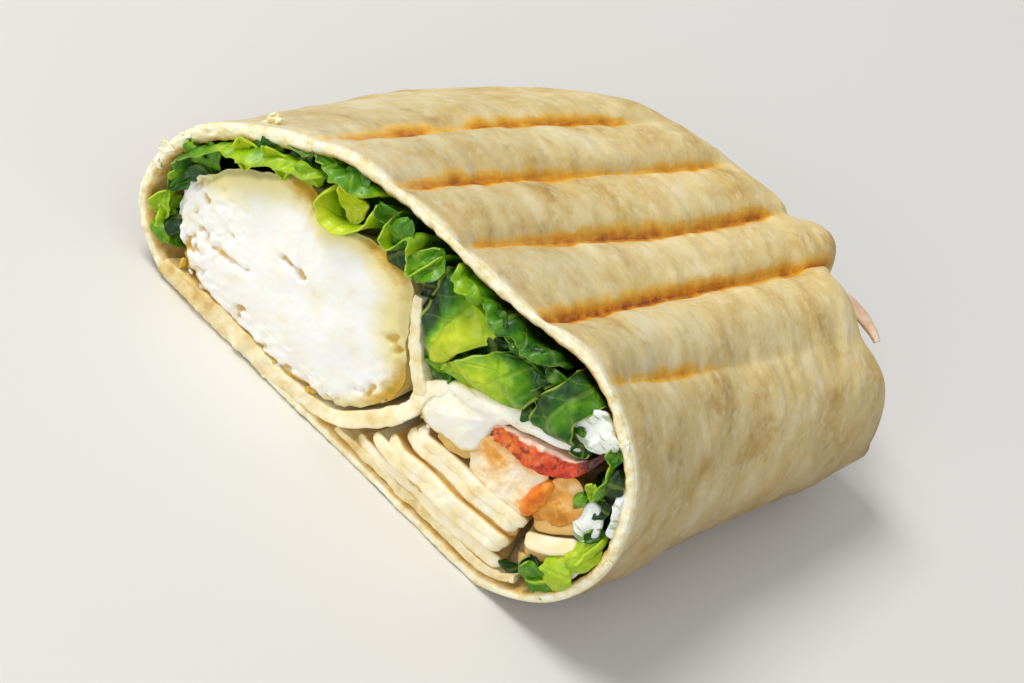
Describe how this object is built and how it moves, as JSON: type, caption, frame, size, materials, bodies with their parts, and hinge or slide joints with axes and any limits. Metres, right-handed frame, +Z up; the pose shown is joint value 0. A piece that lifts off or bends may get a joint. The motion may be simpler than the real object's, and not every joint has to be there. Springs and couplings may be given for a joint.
{
  "type": "breakfast wrap",
  "caption": "Half of a toasted breakfast wrap, cut on the bias: grilled tortilla rolled round egg, spinach, sliced meat, bacon, pepper and cream sauce.",
  "frame": {"origin": "on the flat underside, below the middle of the half", "axes": "+X along the roll from the cut to the closed end, +Y across it to its far side, +Z up"},
  "size_m": [0.1233, 0.0863, 0.0454],
  "materials": {
    "tortilla": "dry grilled flour tortilla, with browned grill marks",
    "egg": "moist cooked egg",
    "slice": "moist pale slices",
    "roast": "moist roast meat",
    "pepper": "wet orange pepper",
    "bacon": "greasy fried rasher",
    "cream": "thick white sauce",
    "spinach": "wilted spinach leaf"
  },
  "bodies": {
    "root": {"tortilla": "tortilla", "egg": "egg", "egg_small": "egg", "flat_slice_1": "slice", "flat_slice_2": "slice", "flat_slice_3": "slice", "flat_slice_4": "slice", "flat_slice_5": "slice", "standing_slice_1": "slice", "standing_slice_2": "slice", "standing_slice_3": "slice", "roast_block": "roast", "roast_end": "roast", "pepper": "pepper", "bacon": "bacon", "cream_blob": "cream", "cream_smear": "cream", "leaf_fold": "spinach", "leaf_broad": "spinach", "leaf_right": "spinach", "leaf_far": "spinach", "leaf_low": "spinach", "leaf_rim": "spinach", "leaf_cup": "spinach", "leaf_crumple": "spinach", "leaf_top": "spinach", "leaf_edge": "spinach", "leaf_near": "spinach"}
  },
  "joints": []
}
